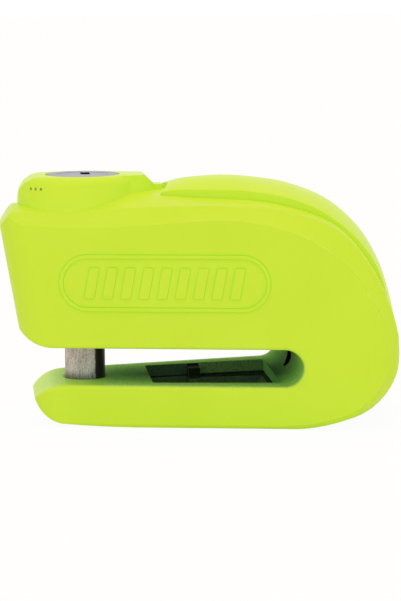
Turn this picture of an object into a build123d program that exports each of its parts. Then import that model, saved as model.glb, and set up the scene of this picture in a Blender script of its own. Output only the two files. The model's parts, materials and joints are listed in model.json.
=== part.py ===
from build123d import *
import math
import os

# Motorcycle brake-disc lock with a push-to-lock cylinder and an alarm.
# Millimetres. Built with the nose tip near X = 0, the length along +X, the
# mid-plane at Y = 0 and the flat base at Z = 0, then moved so that the origin
# is the centre of the whole lock's footprint.

os.makedirs("parts", exist_ok=True)

# ---------------------------------------------------------------- dimensions
# overall wedge, seen from above
bolt_x = 23.0              # axis of the bolt and of the cylinder
half_width_at_bolt = 15.4
taper = 0.205              # half-width gained per millimetre of length
nose_front_low = 9.57      # nose front at Z = -2
nose_front_high = -2.43    # nose front at Z = 70
nose_corner_r = 8.5
tail_corner_r = 8.0
crease_t = 0.84            # upper crease, as a share of the half-width

# brake-disc slot
slot_floor = 11.5
slot_roof = 21.5
slot_end_x = 75.0
slot_edge_r = 1.1
slit_w = 7.0
slit_z0 = 12.7              # its rounded lower end

# bolt and carriage
bolt_r = 5.5
bolt_bottom = 7.5
bolt_top = 36.0
spigot_r = 4.5
spigot_top = 42.0
travel = 14.6              # stroke of the bolt
housing_r = 10.0
face_z = 67.36             # cylinder face, locked
plug_bore_r = 7.6
plug_r = 7.55
lip_r = 7.1
disc_bore_r = 6.25
disc_r = 6.2
key_x0, key_x1 = 22.6, 25.2
key_y0, key_y1 = -0.8, 6.2

# guides
sleeve_ri = 10.06
sleeve_ro = 12.0
sleeve_z0, sleeve_z1 = 27.0, 57.5
bush_ri = 5.56
seat_ri = 5.85              # the bolt's seat in the lower jaw, with room to enter
pin_z = 55.0

# spine cover
spine_x0 = 46.3
spine_half = 9.5
spine_taper = 0.192
spine_shoulder = 2.6        # how far the front corners reach past the middle
spine_t = 2.6
spine_gap = 0.45

# electronics bay
bay_x0, bay_x1 = 43.0, 94.0
bay_z0, bay_z1 = 26.5, 54.0


def w(x):
    return half_width_at_bolt + taper * (x - bolt_x)


def s(x, extra=0.0):
    return spine_half + spine_taper * (x - spine_x0) + extra


def cyl(r, z0, z1, x=bolt_x, y=0.0):
    return Pos(x, y, (z0 + z1) / 2) * Cylinder(r, z1 - z0)


def ring(ri, ro, z0, z1, x=bolt_x, y=0.0):
    return cyl(ro, z0, z1, x, y) - cyl(ri, z0 - 1, z1 + 1, x, y)


def box(x0, x1, y0, y1, z0, z1):
    return Pos((x0 + x1) / 2, (y0 + y1) / 2, (z0 + z1) / 2) * Box(x1 - x0, y1 - y0, z1 - z0)


def xcyl(r, x0, x1, y, z):
    return Pos((x0 + x1) / 2, y, z) * (Rot(0, 90, 0) * Cylinder(r, x1 - x0))


def ycyl(r, y0, y1, x, z):
    return Pos(x, (y0 + y1) / 2, z) * (Rot(90, 0, 0) * Cylinder(r, y1 - y0))


def prism_xz(points, half):
    # closed XZ polygon, extruded both ways along Y
    f = make_face(Plane.XZ * Polyline(*points, close=True))
    return extrude(f, half, both=True)


def prism_xy(points, z0, z1):
    f = make_face(Pos(0, 0, z0) * Polyline(*points, close=True))
    return extrude(f, z1 - z0, dir=(0, 0, 1))


def mix(a, b, f):
    return [(p[0] + (q[0] - p[0]) * f, p[1] + (q[1] - p[1]) * f) for p, q in zip(a, b)]


# ------------------------------------------------------------------ main body
# Side outlines in X, Z from the nose over the back to the base: at the flat
# side faces, at the upper crease and on the mid-plane.
LOW = [(-8, 55.3), (0.3, 55.0), (12, 54.4), (22.5, 54.1), (34.1, 54.6), (48, 55.6), (60, 56.2), (67, 55.6),
       (74, 54.0), (80, 51.8), (86.5, 48.0), (92.5, 42.5), (97.5, 35.0), (100.6, 28.0), (101.6, 21.5),
       (100.9, 15.5), (98.4, 10.0), (94.5, 6.0), (89, 3.4), (82, 1.7), (74, 1.0)]
UP = [(-8, 57.6), (5, 57.9), (18.8, 58.3), (35, 59.2), (53.3, 59.9), (63, 59.8), (70.7, 59.3), (80, 57.3),
      (88.6, 53.9), (95.8, 46.8), (102.2, 35.6), (104.9, 27.5), (105.7, 21.5), (105.2, 15.5), (103.5, 11.2),
      (100.8, 7.4), (96.8, 4.1), (92.0, 2.0), (86.2, 0.8), (80, 0.15), (74, 0)]
MID = [(-8, 58.8), (5, 59.7), (18.8, 61.3), (35, 63.5), (53.3, 62.3), (63, 61.9), (70.9, 61.3), (80.6, 59.2),
      (90, 55.2), (98.2, 47.3), (104.2, 36.4), (106.9, 28.0), (107.6, 21.5), (107.1, 15.0), (105.4, 10.3),
      (102.5, 6.6), (98.3, 3.6), (93.0, 1.7), (86.7, 0.7), (80, 0.15), (74, 0)]
EDGE = [(x, 0.0 if i == 20 else (z if i < 13 else max(0.0, z - 1.0)))
        for i, (x, z) in enumerate(mix(LOW, UP, 0.30))]


def outline(pts, t):
    p = [Vector(x, t * w(x), z) for x, z in pts]
    c = Vector(pts[0][0], t * w(pts[0][0]), pts[-1][1])
    return Wire([Edge.make_spline(p), Edge.make_line(p[-1], c), Edge.make_line(c, p[0])])


side = Solid.make_loft([outline(LOW, -1), outline(EDGE, -0.955)], True)
band = Solid.make_loft([outline(EDGE, -0.955), outline(UP, -crease_t)], True)
core = Solid.make_loft([outline(UP, -crease_t), outline(mix(UP, MID, 0.75), -crease_t / 2), outline(MID, 0),
                        outline(mix(UP, MID, 0.75), crease_t / 2), outline(UP, crease_t)], False)
body = Part() + core + band + side + band.mirror(Plane.XZ) + side.mirror(Plane.XZ)


def plan_wire(z, front):
    f = make_face(Polyline((front, -w(front)), (106, -w(106)), (108.2, 0), (106, w(106)), (front, w(front)),
                           close=True))
    f = fillet([v for v in f.vertices() if v.X < front + 0.1], nose_corner_r)
    f = fillet([v for v in f.vertices() if abs(v.X - 106) < 0.1], tail_corner_r)
    return f.face().outer_wire().moved(Location((0, 0, z)))


body = body & Solid.make_loft([plan_wire(-2, nose_front_low), plan_wire(70, nose_front_high)], True)
body = body & box(-20, 130, -50, 50, 0.0, 90)     # flat base

# chamfer over the nose
body -= prism_xz([(-10, 53.9), (0.05, 53.9), (4.4, 60.2), (-10, 60.2)], 40)

# disc slot, open at the nose, with the rounded tips of both jaws
chin_x, chin_r = 13.8, 11.1                       # arc that runs out of the slot's roof
tip_x, tip_r = 17.5, 11.5                         # arc that runs out of the slot's floor


def chin(x):
    return slot_roof + chin_r - math.sqrt(chin_r ** 2 - (chin_x - x) ** 2)


def tip(x):
    return slot_floor - tip_r + math.sqrt(tip_r ** 2 - (tip_x - x) ** 2)


slot_path = (Line((-14, -6), (-14, chin(3.4))) + Line((-14, chin(3.4)), (3.4, chin(3.4)))
             + ThreePointArc((3.4, chin(3.4)), (7.3, chin(7.3)), (chin_x, slot_roof))
             + Line((chin_x, slot_roof), (slot_end_x, slot_roof))
             + ThreePointArc((slot_end_x, slot_roof), (slot_end_x + (slot_roof - slot_floor) / 2, (slot_roof + slot_floor) / 2),
                             (slot_end_x, slot_floor))
             + Line((slot_end_x, slot_floor), (tip_x, slot_floor))
             + ThreePointArc((tip_x, slot_floor), (11.4, tip(11.4)), (8.7, tip(8.7)))
             + ThreePointArc((8.7, tip(8.7)), (11.3, 3.1), (17.0, 0.85))
             + ThreePointArc((17.0, 0.85), (27.0, 0.22), (40.0, 0.0))
             + Line((40.0, 0.0), (40.0, -6)) + Line((40.0, -6), (-14, -6)))
slot_tool = extrude(make_face(Plane.XZ * slot_path), 45, both=True)
body -= slot_tool

# soft edges along the slot
edge_list = []
for e in body.edges():
    b = e.bounding_box()
    c = e.center()
    if abs(c.Y) > 5 and b.max.Z <= 28 and b.min.Z >= 10.5 and b.max.X < 81.5:
        on_roof = abs(b.max.Z - slot_roof) < 0.02 and abs(b.min.Z - slot_roof) < 0.02
        on_floor = abs(b.max.Z - slot_floor) < 0.02 and abs(b.min.Z - slot_floor) < 0.02
        if (on_roof or on_floor or c.X > slot_end_x - 0.5) and b.max.X - b.min.X > 1.0:
            edge_list.append(e)
soft = None
for r in (slot_edge_r, 0.95, 0.8, 0.65, 0.5):
    try:
        soft = fillet(edge_list, r)
        if soft.is_valid:
            print("slot edges rounded", r, len(edge_list))
            break
        soft = None
    except Exception as err:
        print("slot edge radius", r, "not possible", len(edge_list))
if soft is not None:
    body = soft

# relief pocket in the lower jaw, following the wedge, with ledges, ribs and an
# end wall that is upright above the ledges and sloping below them
pocket = prism_xy([(40.6, -13.6), (75.2, -18.77), (75.2, 18.77), (40.6, 13.6)], 2.4, 12.5)
pocket = fillet([e for e in pocket.edges() if abs(e.bounding_box().max.Z - e.bounding_box().min.Z) > 5], 1.0)
pocket -= prism_xz([(68.6, 2.3), (74.4, 8.1), (76.5, 8.1), (76.5, 2.3)], 30)
for sgn in (-1, 1):
    y0, y1 = sorted((sgn * 11.0, sgn * 22.0))
    pocket -= box(52.9, 56.1, y0, y1, 2.3, 10.8)
    pocket -= box(56.1, 76.5, y0 + (2.2 if sgn > 0 else 0), y1 - (2.2 if sgn < 0 else 0), 2.3, 8.1)
pocket -= box(58.2, 59.7, -30, 30, 2.3, 4.6)
body -= pocket

# window in the slot's end wall, round at its lower end: way out for the siren
body -= box(slot_end_x + 2.2, 85.5, -slit_w / 2, slit_w / 2, slit_z0 + slit_w / 2, bay_z0 + 0.2)
body -= xcyl(slit_w / 2, slot_end_x + 2.2, 85.5, 0, slit_z0 + slit_w / 2)

# bores on the bolt's axis
body -= cyl(7.2, 6.5, 12.5)                       # seat of the lower bush
body -= cyl(8.0, 21.0, 27.05)                     # seat of the upper bush
body -= cyl(sleeve_ro, sleeve_z0, 75)             # guide sleeve and collar

# recess of the spine cover, bay under it, gasket groove
S0 = [(46.3, 64.7), (48.7, 65.5), (55.3, 66.3), (59.7, 66.5), (64.2, 66.4), (68.6, 66.0), (73.0, 65.4),
      (77.5, 64.6), (81.9, 63.3), (86.4, 61.6), (90.9, 59.2), (95.4, 55.6), (99.9, 50.5), (102.2, 46.7),
      (104.5, 41.7), (106.6, 35.0), (107.6, 30.8), (108.5, 25.8), (108.9, 20.5), (108.4, 14.6), (107.1, 9.8),
      (105.9, 7.2)]
S1 = [(46.3, 62.9), (48.7, 63.3), (55.3, 63.4), (59.7, 63.4), (64.2, 63.3), (68.4, 62.9), (72.6, 62.3),
      (76.9, 61.4), (81.1, 60.0), (85.3, 58.2), (89.5, 55.6), (93.7, 52.2), (97.9, 47.6), (100.2, 44.1),
      (102.2, 39.5), (103.8, 33.8), (104.7, 30.1), (105.7, 25.5), (106.2, 20.5), (105.8, 14.9), (104.7, 10.5),
      (103.5, 8.0)]


def shift(pts, d):
    # moves an outline along its outward normal
    out = []
    for i, (x, z) in enumerate(pts):
        a = pts[max(i - 1, 0)]
        b = pts[min(i + 1, len(pts) - 1)]
        tx, tz = b[0] - a[0], b[1] - a[1]
        n = math.hypot(tx, tz)
        out.append((x - tz / n * d, z + tx / n * d))
    return out


def spine_loft(d_out, d_in, extra, x_grow=0.0):
    wires = []
    for t in (-1.0, -0.55, 0.0, 0.55, 1.0):
        reach = t * (1 + extra / 14)                  # the same crown, carried on past the edge
        base = mix(S1, S0, 1 - reach * reach)
        base = [(x - spine_shoulder * reach * reach * max(0.0, 1 - (x - spine_x0) / 9), z) for x, z in base]
        a = shift(base, d_out)
        b = shift(base, d_in)
        if x_grow:
            a = [(a[0][0] - x_grow, a[0][1])] + a[1:]
            b = [(b[0][0] - x_grow, b[0][1])] + b[1:]
        pa = [Vector(x, t * s(x, extra), z) for x, z in a]
        pb = [Vector(x, t * s(x, extra), z) for x, z in b]
        wires.append(Wire([Edge.make_spline(pa), Edge.make_line(pa[-1], pb[-1]),
                           Edge.make_spline(list(reversed(pb))), Edge.make_line(pb[0], pa[0])]))
    return Solid.make_loft(wires, False)


spine = Part() + spine_loft(0.0, -spine_t, 0.0)
body -= spine_loft(4.0, -spine_t - 0.18, spine_gap, spine_gap)

ring_out = [(49.5, -7.6), (92.0, -15.6), (92.0, 15.6), (49.5, 7.6)]
ring_in = [(51.1, -6.2), (90.4, -13.8), (90.4, 13.8), (51.1, 6.2)]
gasket = (prism_xy(ring_out, 30, 72) - prism_xy(ring_in, 29, 73)) & spine_loft(-spine_t, -spine_t - 0.9, 0.0)
body -= gasket
body -= prism_xy([(51.6, -5.8), (89.6, -13.2), (89.6, 13.2), (51.6, 5.8)], 45, 75) & prism_xz(
    [(50, 45), (50, 75), (92, 75), (92, 43)], 30)
bay_side = prism_xz([(bay_x0, bay_z0), (bay_x0, bay_z1), (76, bay_z1), (88, 46), (bay_x1, 40), (bay_x1, bay_z0)], 30)
bay_plan = prism_xy([(bay_x0, -12.1), (bay_x1, -17.1), (bay_x1, 17.1), (bay_x0, 12.1)], 20, 60)
body -= bay_side & bay_plan
body -= box(36.2, 43.5, -3.2, 3.2, 33.5, 43.2)    # pocket of the lock-state sensor

# screws that hold the spine cover at the tail
screw_y, screw_z = 9.0, 21.0
for y in (-screw_y, screw_y):
    body -= xcyl(1.25, 97.0, 107.0, y, screw_z)
    spine -= xcyl(1.6, 100.0, 112.0, y, screw_z)
    spine -= Pos(108.55, y, screw_z) * (Rot(0, 90, 0) * Cone(1.6, 3.0, 2.4))
    spine -= xcyl(3.0, 109.74, 112.0, y, screw_z)

# raised oval frame and plain grip ribs on each side face
face_len = math.hypot(1.0, taper)
for sgn in (-1, 1):
    pl = Plane(origin=(bolt_x, sgn * half_width_at_bolt, 0), x_dir=(1, sgn * taper, 0), z_dir=(-taper, sgn, 0))
    up = 1 if sgn < 0 else -1        # local y runs up on one side and down on the other
    cx, cz = 20.9, 39.35 * up
    rim = Pos(cx, cz) * (SlotOverall(56.8, 15.3) - SlotOverall(54.6, 13.2))
    ribs = Sketch()
    for k in range(9):
        x0 = cx - 19.6 + k * 4.9
        ribs += Pos(x0, cz) * make_face(Polyline((-2.15, -4.2), (0.55, -4.2), (2.15, 4.2), (-0.55, 4.2), close=True)
                                        if up > 0 else
                                        Polyline((-0.55, -4.2), (2.15, -4.2), (0.55, 4.2), (-2.15, 4.2), close=True))
    ribs = fillet(ribs.vertices(), 0.55)
    body += extrude(pl * (Pos(0, 0, -0.3) * rim), 0.62, dir=pl.z_dir)
    body += extrude(pl * (Pos(0, 0, -0.3) * ribs), 0.62, dir=pl.z_dir)

# ---------------------------------------------------------------- cap collar
puck_c, puck_a, puck_b = 21.8, 16.6, 12.4
puck = extrude(Pos(puck_c, 0, 54) * Ellipse(puck_a, puck_b), face_z - 54)
puck = fillet(puck.edges().group_by(Axis.Z)[-1], 2.3)
puck -= prism_xz([(3, 61.6), (5.2, 61.6), (5.75, 63.8), (7.2, 65.7), (9.3, 67.0), (12.0, 67.5), (12, 72), (3, 72)], 30)
tail = extrude(Pos(30.5, 0, 54) * Ellipse(13.4, 7.6), 13.3)
tail &= prism_xz([(22, 50), (22, 67.3), (39.7, 67.3), (42.5, 64.5), (44.4, 64.5), (44.4, 50)], 30)
lip = prism_xy([(38, -3.6), (44.6, -2.6), (44.6, 2.6), (38, 3.6)], 58, 64.5)
collar = puck + tail + lip
collar -= cyl(10.22, 50, 75)
under = Part() + collar
collar = collar - body
collar = Part() + [c for c in collar.solids() if c.center().Z > 58 and c.volume > 50]
collar += ring(10.22, sleeve_ro, sleeve_z1, 61.5)
collar -= cyl(sleeve_ro + 0.5, 50, sleeve_z1)
collar -= ring(10.0, 11.3, 59.0, 60.8)            # groove of the wiper ring
dot_pts = []
for ang in (218.0, 224.5, 231.0):
    a = math.radians(ang)
    dot_pts.append((puck_c + puck_a * math.cos(a), puck_b * math.sin(a)))
lenses = Part()
for (dx, dy) in dot_pts:
    n = Vector((dx - puck_c) / puck_a ** 2, dy / puck_b ** 2, 0).normalized()
    loc = Plane(origin=Vector(dx, dy, 64.2) - n * 1.1, z_dir=n)
    collar -= loc * Cylinder(0.42, 6)
    lenses += loc * Cylinder(0.42, 1.9)
lenses = lenses & under
wiper = ring(10.06, 11.3, 59.0, 60.8)

# ----------------------------------------------------------- fixed guide parts
sleeve = ring(sleeve_ri, sleeve_ro, sleeve_z0, sleeve_z1)
sleeve -= ring(10.0, 11.2, 49.1, 50.9)
sleeve -= xcyl(1.0, bolt_x + 9.5, bolt_x + 13, 0, pin_z)
guide_pin = xcyl(1.0, bolt_x + 8.95, bolt_x + 11.85, 0, pin_z)
clip = ring(9.3, 10.95, 49.3, 50.7) - prism_xy([(bolt_x, 0), (bolt_x + 14, -9), (bolt_x + 14, 9)], 48, 52)
lower_bush = ring(seat_ri, 7.2, 6.5, 11.48)
lower_bush = chamfer(lower_bush.edges().group_by(Axis.Z)[-1].sort_by(SortBy.RADIUS)[:1], 0.4)
upper_bush = ring(bush_ri, 8.0, 22.05, 27.0)

# ------------------------------------------------------------------- carriage
housing = cyl(housing_r, bolt_top, face_z)
housing = chamfer(housing.edges().group_by(Axis.Z)[-1], 0.35)
housing -= cyl(plug_bore_r, bolt_top - 1, face_z - 0.76)
housing -= cyl(lip_r, face_z - 1, face_z + 1)
housing -= ring(9.2, 11, 49.2, 50.8)              # groove of the catch clip
housing -= box(bolt_x + 8.85, bolt_x + 11, -1.06, 1.06, pin_z - travel - 1.1, pin_z + 1.1)
housing -= ring(7.0, 8.6, 46.2, 47.4)             # groove of the plug's circlip
housing -= ycyl(1.2, -9.8, 9.8, bolt_x, 39.0)
housing -= xcyl(0.8, bolt_x + 8.6, bolt_x + 11, 0, 37.6)
carrier = cyl(plug_bore_r, bolt_top, 44.5) - cyl(spigot_r, bolt_top - 1, spigot_top) - ycyl(1.2, -12, 12, bolt_x, 39.0)
bolt = cyl(bolt_r, bolt_bottom, bolt_top)
bolt = chamfer(bolt.edges().group_by(Axis.Z)[0], 0.9)
bolt += cyl(spigot_r, bolt_top, spigot_top)
bolt -= ycyl(1.2, -12, 12, bolt_x, 39.0)
cross_pin = ycyl(1.2, -9.8, 9.8, bolt_x, 39.0)
magnet = xcyl(0.8, bolt_x + 8.6, bolt_x + 9.9, 0, 37.6)
circlip = ring(6.6, 8.5, 46.3, 47.3) - prism_xy([(bolt_x, 0), (bolt_x - 12, -6), (bolt_x - 12, 6)], 45, 48)

# bolt spring, between the upper bush and the cylinder housing
coil_r, wire_r = 7.75, 0.75
helix = Helix(pitch=1.86, height=7.44, radius=coil_r, center=(bolt_x, 0, 27.0 + wire_r + 0.02))
spring = sweep(Plane(origin=helix @ 0, z_dir=helix % 0) * Circle(wire_r), path=helix, is_frenet=True)

# ----------------------------------------------------------------- key plug
keyhole = box(key_x0, key_x1, key_y0, key_y1, 40, 72)
plug = cyl(plug_r, 47.5, face_z - 0.81) + cyl(lip_r - 0.05, face_z - 0.81, face_z - 0.08)
plug -= cyl(disc_bore_r, 47.0, 65.0)
plug -= keyhole
plug -= box(bolt_x - 7.7, bolt_x - 5.8, -0.65, 0.65, 50.0, 64.0)
hard_disc = cyl(disc_bore_r, 64.0, 65.0) - keyhole
tail_disc = cyl(disc_bore_r, 47.5, 49.4) + cyl(3.0, 45.6, 47.5)
cam = extrude(Pos(bolt_x, 0, 44.7) * (Circle(3.6) + Pos(2.4, 0) * Circle(2.6)), 0.9)
sidebar = box(bolt_x - 7.5, bolt_x - 6.3, -0.6, 0.6, 50.3, 63.7)
discs = Part()
spacers = Part()
for k in range(7):
    z = 49.8 + 2.02 * k
    d = cyl(disc_r, z, z + 1.4) - keyhole
    d -= Pos(bolt_x, 0, z + 0.7) * (Rot(0, 0, 40 + 35 * k) * (Pos(-disc_r, 0, 0) * Box(1.6, 1.3, 3)))
    discs += d
    spacers += ring(4.4 + 0.8, disc_r, z + 1.46, z + 1.96) - keyhole if k < 6 else Part()

# ---------------------------------------------------------------- electronics
tray = box(43.2, 93.8, -11.6, 11.6, 26.5, 27.4) & (bay_plan)
tray += box(43.4, 44.6, -11.4, 11.4, 27.4, 38.0)
tray += box(92.8, 93.8, -11.4, 11.4, 27.4, 38.0)
tray += box(50.0, 88.0, -0.5, 0.5, 27.4, 30.6)
for sgn in (-1, 1):
    y0, y1 = sorted((sgn * 11.3, sgn * 12.6))
    tray += box(52.0, 88.0, y0, y1, 26.5, 42.0)
tray -= box(73.0, 85.5, -0.45, 0.45, 26.0, 31.0)
tray -= box(43.0, 47.0, -3.0, 3.0, 33.0, 39.0)
cell_z, cell_y, cell_r = 32.6, 5.9, 5.2


def cell(direction, y):
    n0 = 92.4 if direction > 0 else 45.0
    x0, x1 = (n0 - 44.5, n0 - 0.9) if direction > 0 else (n0 + 0.9, n0 + 44.5)
    c = xcyl(cell_r, x0, x1, y, cell_z)
    c = fillet(c.edges().filter_by(GeomType.CIRCLE), 0.5)
    return c + xcyl(1.9, min(n0, n0 - direction * 0.9), max(n0, n0 - direction * 0.9), y, cell_z)


cells = Part() + cell(1, -cell_y) + cell(-1, cell_y)
contacts = Part()
for x0 in (44.6, 92.4):
    for sgn in (-1, 1):
        y0, y1 = sorted((sgn * 3.1, sgn * 10.0))
        contacts += box(x0, x0 + 0.4, y0, y1, 28.4, 37.0)
cell_springs = Part()
for x0, x1, y in ((45.0, 47.9, -cell_y), (89.5, 92.4, cell_y)):
    hx = Helix(pitch=0.95, height=x1 - x0 - 0.5, radius=2.4)
    c = sweep(Plane(origin=hx @ 0, z_dir=hx % 0) * Circle(0.22), path=hx, is_frenet=True)
    cell_springs += Pos(x0 + 0.25, y, cell_z) * (Rot(0, 90, 0) * c)
board = box(50.0, 89.0, -12.0, 12.0, 42.0, 43.4)
board += box(43.5, 50.0, -4.0, 4.0, 42.0, 43.4)
chips = (box(80.0, 86.5, -9.0, -2.5, 43.4, 44.6) + box(79.5, 83.5, 1.5, 6.5, 43.4, 45.2)
         + box(51.0, 53.0, -11.0, -8.0, 43.4, 44.9) + box(77.5, 79.0, 8.0, 11.0, 43.4, 44.4)
         + box(84.5, 86.5, 8.5, 10.2, 43.4, 44.2) + cyl(2.4, 39.4, 42.0, 60.0, 0.0) + cyl(2.4, 39.4, 42.0, 70.0, 0.0))
tilt_sensor = box(84.3, 87.3, 3.0, 6.0, 43.4, 44.4)
cup = ring(10.8, 12.0, 43.4, 52.4, 65.0) + (cyl(12.0, 51.6, 52.4, 65.0) - cyl(2.0, 51, 53, 65.0))
cup = fillet(cup.edges().group_by(Axis.Z)[-1].sort_by(SortBy.RADIUS)[-1:], 0.6)
siren = cyl(10.8, 47.0, 47.5, 65.0) + cyl(7.0, 47.5, 47.8, 65.0)
siren_ring = ring(9.6, 10.8, 43.4, 47.0, 65.0)
hall = box(36.4, 37.8, -1.5, 1.5, 36.0, 39.4)
hall_board = box(37.8, 38.8, -2.6, 2.6, 34.5, 42.0) + box(38.8, 43.5, -2.6, 2.6, 41.0, 42.0) + box(
    43.5, 46.0, -2.6, 2.6, 41.0, 42.0)

screws = Part()
for y in (-screw_y, screw_y):
    sc = xcyl(1.25, 97.6, 106.2, y, screw_z) + xcyl(1.6, 106.2, 107.35, y, screw_z)
    sc += Pos(108.05, y, screw_z) * (Rot(0, 90, 0) * Cone(1.6, 2.38, 1.4))
    sc -= Pos(108.75, y, screw_z) * (Rot(0, 90, 0) * extrude(RegularPolygon(1.1, 6), 1.2, both=True))
    screws += sc

parts = {
    "lock_body": body, "spine_cover": spine, "spine_gasket": gasket, "cover_screws": screws,
    "cap_collar": collar, "indicator_lenses": lenses, "wiper_ring": wiper,
    "guide_sleeve": sleeve, "guide_pin": guide_pin, "catch_clip": clip,
    "lower_bolt_bush": lower_bush, "upper_bolt_bush": upper_bush, "bolt_spring": spring,
    "cylinder_housing": housing, "bolt_carrier": carrier, "bolt": bolt, "bolt_cross_pin": cross_pin,
    "state_magnet": magnet, "plug_circlip": circlip,
    "key_plug": plug, "anti_drill_disc": hard_disc, "plug_tail": tail_disc, "release_cam": cam,
    "sidebar": sidebar, "detainer_discs": discs, "disc_spacers": spacers,
    "battery_tray": tray, "battery_cells": cells, "battery_contacts": contacts, "battery_springs": cell_springs,
    "circuit_board": board, "board_components": chips, "tilt_sensor": tilt_sensor,
    "siren_cup": cup, "siren_diaphragm": siren, "siren_ring": siren_ring,
    "state_sensor": hall, "state_sensor_board": hall_board,
}

# ------------------------------------------------------------------ placement
lo = min(p.bounding_box().min.X for p in (body, spine, collar))
hi = max(p.bounding_box().max.X for p in (body, spine, collar))
shift_x = -(lo + hi) / 2
print("shift_x %.4f length %.3f" % (shift_x, hi - lo))
for name, shape in parts.items():
    shape = shape.moved(Location((shift_x, 0, 0)))
    sols = shape.solids()
    out = sols[0] if len(sols) == 1 else Compound(sols)
    export_step(out, "parts/%s.step" % name)
    bb = out.bounding_box()
    print("%-20s %2d solids %10.2f mm3  valid %s  x %.1f..%.1f y %.1f..%.1f z %.1f..%.1f" % (
        name, len(sols), sum(v.volume for v in sols), all(v.is_valid for v in sols),
        bb.min.X, bb.max.X, bb.min.Y, bb.max.Y, bb.min.Z, bb.max.Z))
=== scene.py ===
import json
import math

import bpy
from mathutils import Matrix, Vector


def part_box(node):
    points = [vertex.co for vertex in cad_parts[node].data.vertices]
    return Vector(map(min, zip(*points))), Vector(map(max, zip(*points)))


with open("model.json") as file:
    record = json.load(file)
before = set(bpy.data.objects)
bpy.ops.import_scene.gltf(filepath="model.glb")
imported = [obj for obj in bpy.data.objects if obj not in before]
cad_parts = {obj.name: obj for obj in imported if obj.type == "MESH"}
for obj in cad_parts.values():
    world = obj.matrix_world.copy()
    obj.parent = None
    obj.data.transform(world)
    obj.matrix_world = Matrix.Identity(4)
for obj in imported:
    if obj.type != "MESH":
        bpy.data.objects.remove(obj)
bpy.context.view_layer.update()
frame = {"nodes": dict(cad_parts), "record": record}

NODES = frame["nodes"]

# axis of the bolt and of the cylinder, metres
lo_c, hi_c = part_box("cylinder_housing")
AX = (lo_c.x + hi_c.x) / 2
AY = (lo_c.y + hi_c.y) / 2
FACE_Z = hi_c.z
NOSE_X = AX - 0.023


# ------------------------------------------------------------ node helpers
def new_mat(name):
    m = bpy.data.materials.new(name)
    m.use_nodes = True
    nt = m.node_tree
    nt.nodes.clear()
    out = nt.nodes.new("ShaderNodeOutputMaterial")
    bsdf = nt.nodes.new("ShaderNodeBsdfPrincipled")
    nt.links.new(bsdf.outputs["BSDF"], out.inputs["Surface"])
    return m, nt, bsdf


def put(nt, kind, ins=None, **attrs):
    n = nt.nodes.new(kind)
    for k, v in attrs.items():
        setattr(n, k, v)
    for k, v in (ins or {}).items():
        sock = n.inputs[k]
        if isinstance(v, bpy.types.NodeSocket):
            nt.links.new(v, sock)
        else:
            sock.default_value = v
    return n


def coords(nt):
    return put(nt, "ShaderNodeTexCoord").outputs["Object"]


def math_n(nt, op, a, b=0.0, c=None, clamp=False):
    n = nt.nodes.new("ShaderNodeMath")
    n.operation = op
    n.use_clamp = clamp
    for i, v in enumerate([a, b] + ([c] if c is not None else [])):
        if isinstance(v, bpy.types.NodeSocket):
            nt.links.new(v, n.inputs[i])
        else:
            n.inputs[i].default_value = v
    return n.outputs[0]


def stretch(nt, vec, sx, sy, sz):
    return put(nt, "ShaderNodeMapping", {"Vector": vec, "Scale": (sx, sy, sz)}).outputs["Vector"]


def noise(nt, vec, scale, detail=2.0, rough=0.5):
    return put(nt, "ShaderNodeTexNoise", {"Vector": vec, "Scale": scale, "Detail": detail, "Roughness": rough}).outputs["Fac"]


def span(nt, fac, a0, a1, b0, b1, smooth=False):
    n = put(nt, "ShaderNodeMapRange", {"Value": fac, "From Min": a0, "From Max": a1, "To Min": b0, "To Max": b1})
    if smooth:
        n.interpolation_type = "SMOOTHSTEP"
    return n.outputs["Result"]


def mix_rgb(nt, fac, a, b, blend="MIX"):
    n = nt.nodes.new("ShaderNodeMix")
    n.data_type = "RGBA"
    n.blend_type = blend
    for sock, v in ((n.inputs["Factor"], fac), (n.inputs["A"], a), (n.inputs["B"], b)):
        pass
    socks = [s for s in n.inputs if s.enabled]
    for s_, v in zip(socks, (fac, a, b)):
        if isinstance(v, bpy.types.NodeSocket):
            nt.links.new(v, s_)
        else:
            s_.default_value = v if not isinstance(v, tuple) or len(v) == 4 else (*v, 1.0)
    return [o for o in n.outputs if o.enabled][0]


def bump(nt, height, strength, distance, normal=None):
    ins = {"Height": height, "Strength": strength, "Distance": distance}
    if normal is not None:
        ins["Normal"] = normal
    return put(nt, "ShaderNodeBump", ins).outputs["Normal"]


def link(nt, sock, target):
    nt.links.new(sock, target)


# --------------------------------------------------------------- materials
def gate(nt, v, a0, a1, soft=0.00008):
    # 1 between a0 and a1, with a narrow soft edge
    up = span(nt, v, a0 - soft, a0 + soft, 0.0, 1.0, True)
    down = span(nt, v, a1 - soft, a1 + soft, 1.0, 0.0, True)
    return math_n(nt, "MULTIPLY", up, down)


def times(nt, *parts):
    out = parts[0]
    for q in parts[1:]:
        out = math_n(nt, "MULTIPLY", out, q)
    return out


def ridge(nt, v, at, half):
    # 1 on a line at a given value, falling to 0 each side of it
    return span(nt, math_n(nt, "ABSOLUTE", math_n(nt, "SUBTRACT", v, at), 0.0), 0.0, half, 1.0, 0.0, True)


def body_places(nt, co):
    # places on the body, in its own coordinates: length from the bolt's axis,
    # depth in from the tapering side faces, height
    sep = put(nt, "ShaderNodeSeparateXYZ", {"Vector": co})
    x = math_n(nt, "SUBTRACT", sep.outputs["X"], AX)
    y = math_n(nt, "ABSOLUTE", math_n(nt, "SUBTRACT", sep.outputs["Y"], AY), 0.0)
    z = sep.outputs["Z"]
    depth = math_n(nt, "SUBTRACT", math_n(nt, "MULTIPLY_ADD", x, 0.205, 0.0154), y)
    return x, y, z, depth


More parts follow.
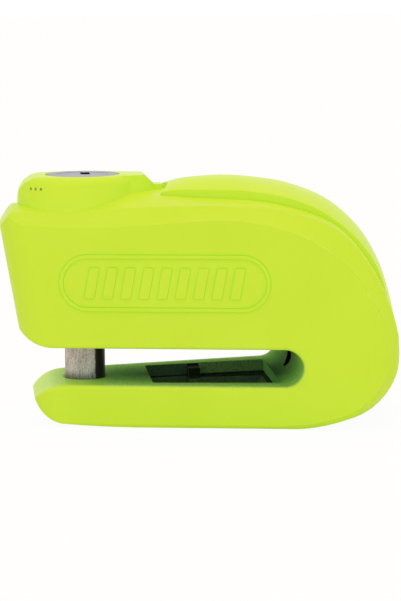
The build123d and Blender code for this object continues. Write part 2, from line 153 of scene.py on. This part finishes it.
def neon(name, base, rough, coat, peel, glow, slot=False):
    # fluorescent yellow-green: large faint clouds of tone, fine orange peel, gloss that varies
    m, nt, b = new_mat(name)
    co = coords(nt)
    clouds = noise(nt, co, 48.0, 1.0)
    fine = noise(nt, co, 5200.0, 2.0)
    tone = math_n(nt, "ADD", span(nt, clouds, 0.3, 0.7, 0.0, 0.85, True), span(nt, fine, 0.3, 0.7, 0.0, 0.15, True))
    dark = tuple(c * k for c, k in zip(base, (0.980, 0.988, 0.93)))
    light = tuple(min(1.0, c * k) for c, k in zip(base, (1.015, 1.009, 1.06)))
    col = mix_rgb(nt, tone, dark, light)
    gloss = None
    if slot:
        # inside the disc slot the paint carries painted shade, a darker green deeper in, and its coat is matt; the
        # pocket and the window behind it carry their own darker painted shade
        x, y, z, depth = body_places(nt, co)
        grit = noise(nt, co, 1500.0, 4.0, 0.65)
        along = times(nt, span(nt, x, -0.0135, 0.0105, 0.10, 1.0, True), span(nt, x, 0.0578, 0.0584, 1.0, 0.0))
        high = times(nt, span(nt, z, 0.0103, 0.0114, 0.0, 1.0, True), span(nt, z, 0.0216, 0.0225, 1.0, 0.0, True))
        slot_shade_mask = times(nt, along, high, span(nt, depth, -0.0002, 0.0014, 0.0, 1.0, True))
        matt = times(nt, along, high, span(nt, depth, 0.0010, 0.0026, 0.0, 1.0, True))
        slot_shade_depth = times(nt, span(nt, depth, 0.0020, 0.0150, 0.0, 1.0, True), span(nt, x, -0.004, 0.016, 0.25, 1.0, True))
        slot_shade_depth = times(nt, slot_shade_depth, span(nt, x, 0.0490, 0.0560, 1.0, 0.10, True))
        # painted shade: the slot's green goes from a lighter tone near the mouth to a darker one deep in, darkest far
        # in
        green = mix_rgb(nt, slot_shade_depth, SLOT_SHADE_MOUTH, SLOT_SHADE_DEEP)
        green = mix_rgb(nt, times(nt, span(nt, depth, 0.0120, 0.0230, 0.0, 1.0, True), span(nt, x, 0.004, 0.020, 0.0, 1.0, True),
                                  span(nt, x, 0.0480, 0.0570, 1.0, 0.3, True)), green, (0.060, 0.115, 0.024))
        green = mix_rgb(nt, span(nt, grit, 0.35, 0.65, 0.0, 0.35), green, (0.03, 0.07, 0.03))
        # the painted shade takes the place of the paint colour inside the slot
        col = mix_rgb(nt, slot_shade_mask, col, green)
        # painted shade in the pocket: dark green walls, a near-black band, a brighter painted lit band at the far end,
        # darker below the ledge, and a painted shadow line along the ledge
        pocket = times(nt, gate(nt, x, 0.0170, 0.0527), span(nt, depth, 0.0040, 0.0048, 0.0, 1.0),
                       gate(nt, z, 0.0020, 0.01136, 0.00004))
        pocket_painted_shade = mix_rgb(nt, gate(nt, x, 0.0332, 0.0519), (0.118, 0.186, 0.098), (0.32, 0.52, 0.19))
        pocket_painted_shade = mix_rgb(nt, gate(nt, x, 0.0299, 0.0332), pocket_painted_shade, (0.025, 0.035, 0.012))
        pocket_painted_shade = mix_rgb(nt, span(nt, x, 0.0519, 0.0521, 0.0, 1.0), pocket_painted_shade, (0.50, 0.95, 0.26))
        pocket_low_shade = span(nt, z, 0.0081, 0.0084, 1.0, 0.0)
        pocket_painted_shade = mix_rgb(nt, pocket_low_shade, pocket_painted_shade, (0.16, 0.24, 0.13))
        pocket_painted_shade = mix_rgb(nt, gate(nt, z, 0.0078, 0.0083), pocket_painted_shade, (0.035, 0.052, 0.028))
        pocket_painted_shade = mix_rgb(nt, span(nt, grit, 0.4, 0.7, 0.0, 0.4), pocket_painted_shade, (0.004, 0.006, 0.004))
        col = mix_rgb(nt, pocket, col, pocket_painted_shade)
        # painted shade: the window behind the slot's rounded end is painted near black
        back = math_n(nt, "SQRT", math_n(nt, "ADD", math_n(nt, "POWER", math_n(nt, "SUBTRACT", x, 0.052), 2.0),
                                         math_n(nt, "POWER", math_n(nt, "SUBTRACT", z, 0.0165), 2.0)), 0.0)
        window_shade = times(nt, span(nt, back, 0.00508, 0.00520, 0.0, 1.0), gate(nt, x, 0.0540, 0.0640), gate(nt, z, 0.0120, 0.0270),
                       span(nt, y, 0.0036, 0.0038, 1.0, 0.0))
        col = mix_rgb(nt, window_shade, col, (0.004, 0.005, 0.004))
        gloss = math_n(nt, "MAXIMUM", math_n(nt, "MAXIMUM", matt, pocket), window_shade)
        # painted shade: a darker green line at the foot of the raised frame and ribs
        u = math_n(nt, "MULTIPLY_ADD", x, 1.0208, -0.0209)
        v = math_n(nt, "SUBTRACT", z, 0.03935)
        end = math_n(nt, "MAXIMUM", math_n(nt, "SUBTRACT", math_n(nt, "ABSOLUTE", u, 0.0), 0.02075), 0.0)
        rad = math_n(nt, "SQRT", math_n(nt, "ADD", math_n(nt, "MULTIPLY", end, end), math_n(nt, "MULTIPLY", v, v)), 0.0)
        foot_shade = math_n(nt, "MAXIMUM", ridge(nt, rad, 0.00772, 0.00034), ridge(nt, rad, 0.00653, 0.00034))
        q = math_n(nt, "MULTIPLY_ADD", v, -0.1905, math_n(nt, "ADD", u, 0.0196 + 0.00245))
        inrow = gate(nt, q, 0.0006, 0.0006 + 9 * 0.0049, 0.0002)
        q = math_n(nt, "ABSOLUTE", math_n(nt, "SUBTRACT", math_n(nt, "FLOORED_MODULO", q, 0.0049), 0.00245), 0.0)
        av = math_n(nt, "ABSOLUTE", v, 0.0)
        sides = times(nt, ridge(nt, q, 0.00140, 0.00030), span(nt, av, 0.0041, 0.0045, 1.0, 0.0))
        ends = times(nt, ridge(nt, av, 0.00425, 0.00030), span(nt, q, 0.0011, 0.0015, 1.0, 0.0))
        foot_shade = math_n(nt, "MAXIMUM", foot_shade, times(nt, inrow, math_n(nt, "MAXIMUM", sides, ends)))
        foot_shade = times(nt, foot_shade, span(nt, depth, 0.0006, 0.0009, 1.0, 0.0))
        col = mix_rgb(nt, math_n(nt, "MULTIPLY", foot_shade, FOOT_SHADE), col, (0.30, 0.70, 0.02))
    link(nt, col, b.inputs["Base Color"])
    # the paint glows with its own colour: partly the fluorescence of the pigment, partly painted light that lifts the
    # shaded faces
    link(nt, col, b.inputs["Emission Color"])
    b.inputs["Emission Strength"].default_value = glow
    if gloss is not None:
        # no glow where the slot, pocket and window carry painted shade
        no_glow_shade_mask = math_n(nt, "MAXIMUM", math_n(nt, "MAXIMUM", slot_shade_mask, pocket), window_shade)
        link(nt, math_n(nt, "MULTIPLY_ADD", no_glow_shade_mask, -glow, glow), b.inputs["Emission Strength"])
    rgh = span(nt, noise(nt, co, 42.0, 1.0), 0.25, 0.75, rough - 0.015, rough + 0.02, True)
    if gloss is not None:
        rgh = math_n(nt, "MULTIPLY_ADD", gloss, 0.32, rgh)
        keep = math_n(nt, "MULTIPLY_ADD", gloss, -0.88, 1.0)
        link(nt, math_n(nt, "MULTIPLY", keep, SPEC), b.inputs["Specular IOR Level"])
        link(nt, math_n(nt, "MULTIPLY", keep, coat), b.inputs["Coat Weight"])
    else:
        b.inputs["Coat Weight"].default_value = coat
        b.inputs["Specular IOR Level"].default_value = SPEC
    link(nt, rgh, b.inputs["Roughness"])
    pe = noise(nt, co, 1250.0, 1.5, 0.45)
    link(nt, bump(nt, pe, peel, 0.00006), b.inputs["Normal"])
    b.inputs["IOR"].default_value = 1.48
    b.inputs["Coat Roughness"].default_value = 0.12
    b.inputs["Coat IOR"].default_value = 1.45
    link(nt, bump(nt, pe, peel * 0.6, 0.00006), b.inputs["Coat Normal"])
    return m


def steel(name, dark, light, rough, grain, axis="z", speck=0.25, metallic=1.0, rings=0.0):
    # drawn or turned metal: streaks across one axis, fine specks, uneven gloss
    m, nt, b = new_mat(name)
    co = coords(nt)
    s3 = {"z": (grain, grain, grain * 0.06), "x": (grain * 0.06, grain, grain), "r": (grain * 0.3, grain * 0.3, grain)}[axis]
    streak = noise(nt, stretch(nt, co, *s3), 1.0, 3.0, 0.6)
    specks = noise(nt, co, grain * 1.1, 3.0, 0.65)
    tone = math_n(nt, "ADD", math_n(nt, "MULTIPLY", streak, 1.0 - speck), math_n(nt, "MULTIPLY", specks, speck))
    t2 = span(nt, tone, 0.34, 0.66, 0.0, 1.0)
    link(nt, mix_rgb(nt, t2, dark, light), b.inputs["Base Color"])
    link(nt, span(nt, specks, 0.3, 0.7, rough - 0.05, rough + 0.08), b.inputs["Roughness"])
    b.inputs["Metallic"].default_value = metallic
    bev = put(nt, "ShaderNodeBevel", {"Radius": 0.00012}, samples=4).outputs["Normal"]
    link(nt, bump(nt, tone, 0.25, 0.00004, bev), b.inputs["Normal"])
    return m


def turned(name, base_d, base_l, rough, pitch):
    # satin-chromed face with fine concentric turning marks, and rings down the wall
    m, nt, b = new_mat(name)
    co = coords(nt)
    sub = put(nt, "ShaderNodeVectorMath", {0: co, 1: (AX, AY, 0.0)}, operation="SUBTRACT").outputs["Vector"]
    sep = put(nt, "ShaderNodeSeparateXYZ", {"Vector": sub})
    r2 = math_n(nt, "ADD", math_n(nt, "MULTIPLY", sep.outputs["X"], sep.outputs["X"]),
                math_n(nt, "MULTIPLY", sep.outputs["Y"], sep.outputs["Y"]))
    r = math_n(nt, "SQRT", r2, 0.0)
    path = math_n(nt, "ADD", r, sep.outputs["Z"])
    wob = math_n(nt, "MULTIPLY", noise(nt, co, 900.0, 2.0), pitch * 2.2)
    ph = math_n(nt, "MULTIPLY", math_n(nt, "ADD", path, wob), 2 * math.pi / pitch)
    rings = math_n(nt, "MULTIPLY_ADD", math_n(nt, "SINE", ph, 0.0), 0.5, 0.5)
    grime = noise(nt, co, 420.0, 4.0, 0.6)
    tone = math_n(nt, "ADD", math_n(nt, "MULTIPLY", rings, 0.45), math_n(nt, "MULTIPLY", grime, 0.55))
    # painted shade: the keyway's walls are painted near black, less metallic and rougher
    key = times(nt, gate(nt, sep.outputs["X"], -0.00050, 0.00230), gate(nt, sep.outputs["Y"], -0.00090, 0.00630),
                span(nt, sep.outputs["Z"], FACE_Z - 0.00030, FACE_Z - 0.00012, 1.0, 0.0))
    link(nt, mix_rgb(nt, key, mix_rgb(nt, tone, base_d, base_l), (0.006, 0.006, 0.006)), b.inputs["Base Color"])
    link(nt, math_n(nt, "SUBTRACT", 1.0, math_n(nt, "MULTIPLY", key, 0.8)), b.inputs["Metallic"])
    link(nt, math_n(nt, "MULTIPLY_ADD", key, 0.3, span(nt, grime, 0.3, 0.7, rough - 0.04, rough + 0.07)), b.inputs["Roughness"])
    b.inputs["Anisotropic"].default_value = 0.35
    bev = put(nt, "ShaderNodeBevel", {"Radius": 0.00012}, samples=4).outputs["Normal"]
    link(nt, bump(nt, rings, 0.12, 0.00002, bev), b.inputs["Normal"])
    return m


def bolt_steel(name):
    # ground bolt: rough warm-grey skin with upright streaks and dark specks, a dark strip on the side that faces the
    # slot as a painted reflection of the dark slot, and painted shadow from where it enters the lower jaw down to the
    # tip
    m, nt, b = new_mat(name)
    co = coords(nt)
    streak = noise(nt, stretch(nt, co, 2600.0, 2600.0, 240.0), 1.0, 3.0, 0.6)
    grit = noise(nt, co, 3600.0, 4.0, 0.7)
    blot = noise(nt, stretch(nt, co, 420.0, 420.0, 210.0), 1.0, 3.0, 0.6)
    tone = math_n(nt, "ADD", math_n(nt, "MULTIPLY", streak, 0.22),
                  math_n(nt, "ADD", math_n(nt, "MULTIPLY", grit, 0.50), math_n(nt, "MULTIPLY", blot, 0.28)))
    t2 = span(nt, tone, 0.38, 0.58, 0.0, 1.0)
    col = mix_rgb(nt, t2, (0.20, 0.155, 0.185), (0.84, 0.75, 0.86))
    sub = put(nt, "ShaderNodeVectorMath", {0: co, 1: (AX, AY, 0.0)}, operation="SUBTRACT").outputs["Vector"]
    sep = put(nt, "ShaderNodeSeparateXYZ", {"Vector": sub})
    # painted reflection: a dark strip on the side that faces the slot, standing in for the dark slot reflected in the
    # bolt
    ang = math_n(nt, "ARCTAN2", sep.outputs["Y"], sep.outputs["X"])          # radians
    ragged = math_n(nt, "MULTIPLY_ADD", noise(nt, stretch(nt, co, 900.0, 900.0, 500.0), 1.0, 3.0), 0.10, -0.05)
    ang = math_n(nt, "ADD", ang, ragged)
    a0, a1 = math.radians(-63.0), math.radians(24.0)
    in0 = span(nt, ang, a0 - 0.05, a0 + 0.05, 0.0, 1.0, True)
    in1 = span(nt, ang, a1 - 0.12, a1 + 0.12, 1.0, 0.0, True)
    dark_reflection_strip = math_n(nt, "MULTIPLY", in0, in1)
    # painted shadow where the bolt enters the lower jaw, dark from there down to the tip, broken up by the grit noise
    foot_contact_shadow = span(nt, sep.outputs["Z"], 0.0116, 0.0142, 0.95, 0.0, True)
    foot_contact_shadow = math_n(nt, "MULTIPLY", foot_contact_shadow, span(nt, grit, 0.25, 0.6, 1.0, 0.55))
    fac = math_n(nt, "MAXIMUM", dark_reflection_strip, foot_contact_shadow)
    col = mix_rgb(nt, fac, col, mix_rgb(nt, grit, (0.003, 0.002, 0.002), (0.014, 0.009, 0.010)))
    link(nt, col, b.inputs["Base Color"])
    link(nt, math_n(nt, "SUBTRACT", 0.34, math_n(nt, "MULTIPLY", dark_reflection_strip, 0.26)), b.inputs["Metallic"])
    link(nt, span(nt, grit, 0.3, 0.7, 0.38, 0.55), b.inputs["Roughness"])
    bev = put(nt, "ShaderNodeBevel", {"Radius": 0.00015}, samples=4).outputs["Normal"]
    link(nt, bump(nt, tone, 0.55, 0.00006, bev), b.inputs["Normal"])
    return m


def moulded(name, dark, light, rough, grain, bump_s=0.25, spec=0.5, metallic=0.0):
    # moulded plastic or rubber: spark-eroded grain, slight blush of tone
    m, nt, b = new_mat(name)
    co = coords(nt)
    v = put(nt, "ShaderNodeTexVoronoi", {"Vector": co, "Scale": grain}).outputs["Distance"]
    n1 = noise(nt, co, grain * 0.12, 3.0)
    tone = math_n(nt, "ADD", math_n(nt, "MULTIPLY", v, 0.5), math_n(nt, "MULTIPLY", n1, 0.6))
    link(nt, mix_rgb(nt, span(nt, tone, 0.2, 0.9, 0.0, 1.0), dark, light), b.inputs["Base Color"])
    link(nt, span(nt, n1, 0.3, 0.7, rough - 0.06, rough + 0.08), b.inputs["Roughness"])
    b.inputs["Specular IOR Level"].default_value = spec
    b.inputs["Metallic"].default_value = metallic
    link(nt, bump(nt, v, bump_s, 0.00003), b.inputs["Normal"])
    return m


def laminate(name):
    m, nt, b = new_mat(name)
    co = coords(nt)
    tracks = put(nt, "ShaderNodeTexBrick", {"Vector": stretch(nt, co, 700.0, 520.0, 520.0), "Scale": 1.0, "Mortar Size": 0.06,
                                            "Color1": (0.0, 0.0, 0.0, 1), "Color2": (0.15, 0.15, 0.15, 1), "Mortar": (1, 1, 1, 1)})
    f = noise(nt, co, 2600.0, 2.0)
    col = mix_rgb(nt, tracks.outputs["Fac"], mix_rgb(nt, f, (0.008, 0.075, 0.03), (0.012, 0.10, 0.045)), (0.03, 0.20, 0.09))
    link(nt, col, b.inputs["Base Color"])
    b.inputs["Roughness"].default_value = 0.35
    link(nt, bump(nt, tracks.outputs["Fac"], 0.3, 0.00003), b.inputs["Normal"])
    return m


def film(name):
    m, nt, b = new_mat(name)
    co = coords(nt)
    sep = put(nt, "ShaderNodeSeparateXYZ", {"Vector": co})
    end = span(nt, sep.outputs["X"], 0.012, 0.0122, 0.0, 1.0)
    f = noise(nt, stretch(nt, co, 90.0, 900.0, 900.0), 1.0, 3.0)
    a = mix_rgb(nt, f, (0.02, 0.022, 0.03), (0.035, 0.038, 0.05))
    c = mix_rgb(nt, f, (0.36, 0.27, 0.12), (0.44, 0.34, 0.17))
    link(nt, mix_rgb(nt, end, a, c), b.inputs["Base Color"])
    b.inputs["Metallic"].default_value = 0.55
    b.inputs["Roughness"].default_value = 0.28
    link(nt, bump(nt, f, 0.1, 0.00004), b.inputs["Normal"])
    return m


def lens(name):
    m, nt, b = new_mat(name)
    co = coords(nt)
    f = noise(nt, co, 1500.0, 2.0)
    link(nt, mix_rgb(nt, f, (0.33, 0.46, 0.035), (0.42, 0.57, 0.05)), b.inputs["Base Color"])
    b.inputs["Roughness"].default_value = 0.12
    b.inputs["Transmission Weight"].default_value = 0.35
    b.inputs["IOR"].default_value = 1.5
    link(nt, bump(nt, f, 0.08, 0.00002), b.inputs["Normal"])
    return m


BASE = (0.520, 0.733, 0.0400)
# painted shade colours for the disc slot, near its mouth and deep in
SLOT_SHADE_MOUTH = (0.40, 0.78, 0.150)
SLOT_SHADE_DEEP = (0.225, 0.500, 0.062)
SPEC = 0.17
# strength of the painted shade at the foot of the raised frame and ribs
FOOT_SHADE = 0.55
MATS = {
    "neon_painted_metal": neon("neon_paint", BASE, 0.30, 0.05, 0.05, 0.20, slot=True),
    "neon_shell": neon("neon_moulding", tuple(c * 0.955 for c in BASE), 0.30, 0.05, 0.04, 0.28),
    "black_rubber": moulded("rubber", (0.012, 0.012, 0.013), (0.03, 0.03, 0.032), 0.72, 2600.0, 0.3, 0.35),
    "plain_steel": steel("machined_steel", (0.34, 0.34, 0.35), (0.62, 0.62, 0.63), 0.34, 2200.0, "r"),
    "hardened_steel": steel("hardened_steel", (0.24, 0.23, 0.22), (0.48, 0.46, 0.44), 0.38, 2400.0, "r"),
    "spring_steel": steel("spring_steel", (0.14, 0.14, 0.15), (0.36, 0.36, 0.38), 0.30, 2600.0, "z"),
    "satin_chrome": turned("satin_chrome", (0.31, 0.30, 0.355), (0.465, 0.452, 0.545), 0.30, 0.00022),
    "smoked_lens": lens("light_guide"),
    "black_plastic": moulded("black_plastic", (0.010, 0.010, 0.012), (0.03, 0.03, 0.034), 0.48, 3200.0, 0.25),
    "cell_wrap": film("cell_film"),
    "plated_contacts": steel("nickel_plate", (0.46, 0.44, 0.40), (0.74, 0.72, 0.66), 0.24, 1800.0, "x"),
    "board_laminate": laminate("board_laminate"),
    "chip_plastic": moulded("component_plastic", (0.012, 0.012, 0.014), (0.032, 0.032, 0.036), 0.55, 4200.0, 0.2),
    "brass_disc": steel("rolled_brass", (0.42, 0.29, 0.09), (0.76, 0.58, 0.26), 0.30, 1900.0, "x"),
    "magnet": steel("nickel_magnet", (0.50, 0.50, 0.51), (0.78, 0.78, 0.79), 0.18, 1500.0, "z", 0.5),
}
BOLT = bolt_steel("bolt_ground_steel")
for sub in frame["record"]["subparts"]:
    o = NODES[sub["node"]]
    m = BOLT if sub["node"] == "bolt" else MATS[sub["material_slot"]]
    o.data.materials.clear()
    o.data.materials.append(m)

# ------------------------------------------------------------------- stage
sc = bpy.context.scene
sc.view_settings.view_transform = "Standard"
sc.view_settings.look = "None"
sc.view_settings.exposure = 0.0
sc.view_settings.gamma = 1.0

SKY = (1.48, 1.06, 0.84)       # radiance of the overhead diffuser
SKY_LOW = (0.235, 0.45, 0.42)   # radiance at the horizon
SKY_E0, SKY_E1 = 10.0, 62.0    # elevations between which it rises, degrees
MIRROR = 0.93                  # radiance of the white surround as polished surfaces see it

bpy.ops.mesh.primitive_plane_add(size=24.0, location=(0, 0, -0.0002))
floor = bpy.context.active_object
floor.name = "studio_floor"
fm, fnt, fb = new_mat("floor_paper")
fco = coords(fnt)
fn = noise(fnt, fco, 30.0, 3.0)
link(fnt, mix_rgb(fnt, fn, (0.90, 0.90, 0.90), (0.93, 0.93, 0.93)), fb.inputs["Base Color"])
fb.inputs["Roughness"].default_value = 0.9
fb.inputs["Specular IOR Level"].default_value = 0.1
paper = put(fnt, "ShaderNodeEmission", {"Color": (1, 1, 1, 1), "Strength": 1.0})
path = put(fnt, "ShaderNodeLightPath")
mixf = put(fnt, "ShaderNodeMixShader", {"Fac": math_n(fnt, "MULTIPLY", path.outputs["Is Camera Ray"], 0.95)})
fnt.links.new(fb.outputs["BSDF"], mixf.inputs[1])
fnt.links.new(paper.outputs["Emission"], mixf.inputs[2])
fout = [n for n in fnt.nodes if n.type == "OUTPUT_MATERIAL"][0]
fnt.links.new(mixf.outputs["Shader"], fout.inputs["Surface"])
floor.data.materials.append(fm)

# overhead diffuser all round, fading to a dim horizon; the backdrop itself is white
world = bpy.data.worlds.new("studio")
sc.world = world
world.use_nodes = True
wnt = world.node_tree
wnt.nodes.clear()
wout = wnt.nodes.new("ShaderNodeOutputWorld")
wco = put(wnt, "ShaderNodeTexCoord").outputs["Generated"]
wsep = put(wnt, "ShaderNodeSeparateXYZ", {"Vector": wco})
elev = math_n(wnt, "ARCSINE", math_n(wnt, "MINIMUM", math_n(wnt, "MAXIMUM", wsep.outputs["Z"], -1.0), 1.0), 0.0)
lift = span(wnt, elev, math.radians(SKY_E0), math.radians(SKY_E1), 0.0, 1.0, True)
warm = mix_rgb(wnt, lift, SKY_LOW, SKY)
wpath = put(wnt, "ShaderNodeLightPath")
warm = mix_rgb(wnt, math_n(wnt, "MULTIPLY", wpath.outputs["Is Glossy Ray"], 0.85), warm, (MIRROR, MIRROR, MIRROR))
sky = put(wnt, "ShaderNodeBackground", {"Color": warm, "Strength": 1.0})
drop = put(wnt, "ShaderNodeBackground", {"Color": (1, 1, 1, 1), "Strength": 1.0})
wmix = put(wnt, "ShaderNodeMixShader", {"Fac": wpath.outputs["Is Camera Ray"]})
wnt.links.new(sky.outputs["Background"], wmix.inputs[1])
wnt.links.new(drop.outputs["Background"], wmix.inputs[2])
wnt.links.new(wmix.outputs["Shader"], wout.inputs["Surface"])


def area(name, loc, target, size, power, colour, size_y=None):
    ld = bpy.data.lights.new(name, "AREA")
    ld.energy = power
    ld.color = colour
    ld.shape = "RECTANGLE"
    ld.size = size
    ld.size_y = size_y or size
    lo = bpy.data.objects.new(name, ld)
    sc.collection.objects.link(lo)
    lo.location = loc
    d = Vector(target) - Vector(loc)
    lo.rotation_euler = d.to_track_quat("-Z", "Y").to_euler()
    lo.visible_glossy = False
    return lo


area("key_front", (-0.10, -1.10, 0.42), (0, 0, 0.03), 0.8, 2.15, (1.0, 0.98, 0.96))

# ------------------------------------------------------------------ camera
yaw, pitch, roll = math.radians(6.18), math.radians(8.29), math.radians(-0.40)
fwd = Vector((math.sin(yaw) * math.cos(pitch), math.cos(yaw) * math.cos(pitch), -math.sin(pitch)))
right0 = Vector((math.cos(yaw), -math.sin(yaw), 0.0))
up0 = right0.cross(fwd)
r = math.cos(roll) * right0 + math.sin(roll) * up0
u = -math.sin(roll) * right0 + math.cos(roll) * up0
cd = bpy.data.cameras.new("camera")
cam = bpy.data.objects.new("camera", cd)
sc.collection.objects.link(cam)
cam.matrix_world = Matrix((
    (r.x, u.x, -fwd.x, NOSE_X - 0.00635),
    (r.y, u.y, -fwd.y, -0.56845),
    (r.z, u.z, -fwd.z, 0.11503),
    (0, 0, 0, 1)))
cd.sensor_fit = "AUTO"
cd.sensor_width = 36.0
cd.lens = 2086.84 * 36.0 / 601.0
cd.clip_start = 0.02
cd.clip_end = 100.0
cd.dof.use_dof = False
sc.camera = cam
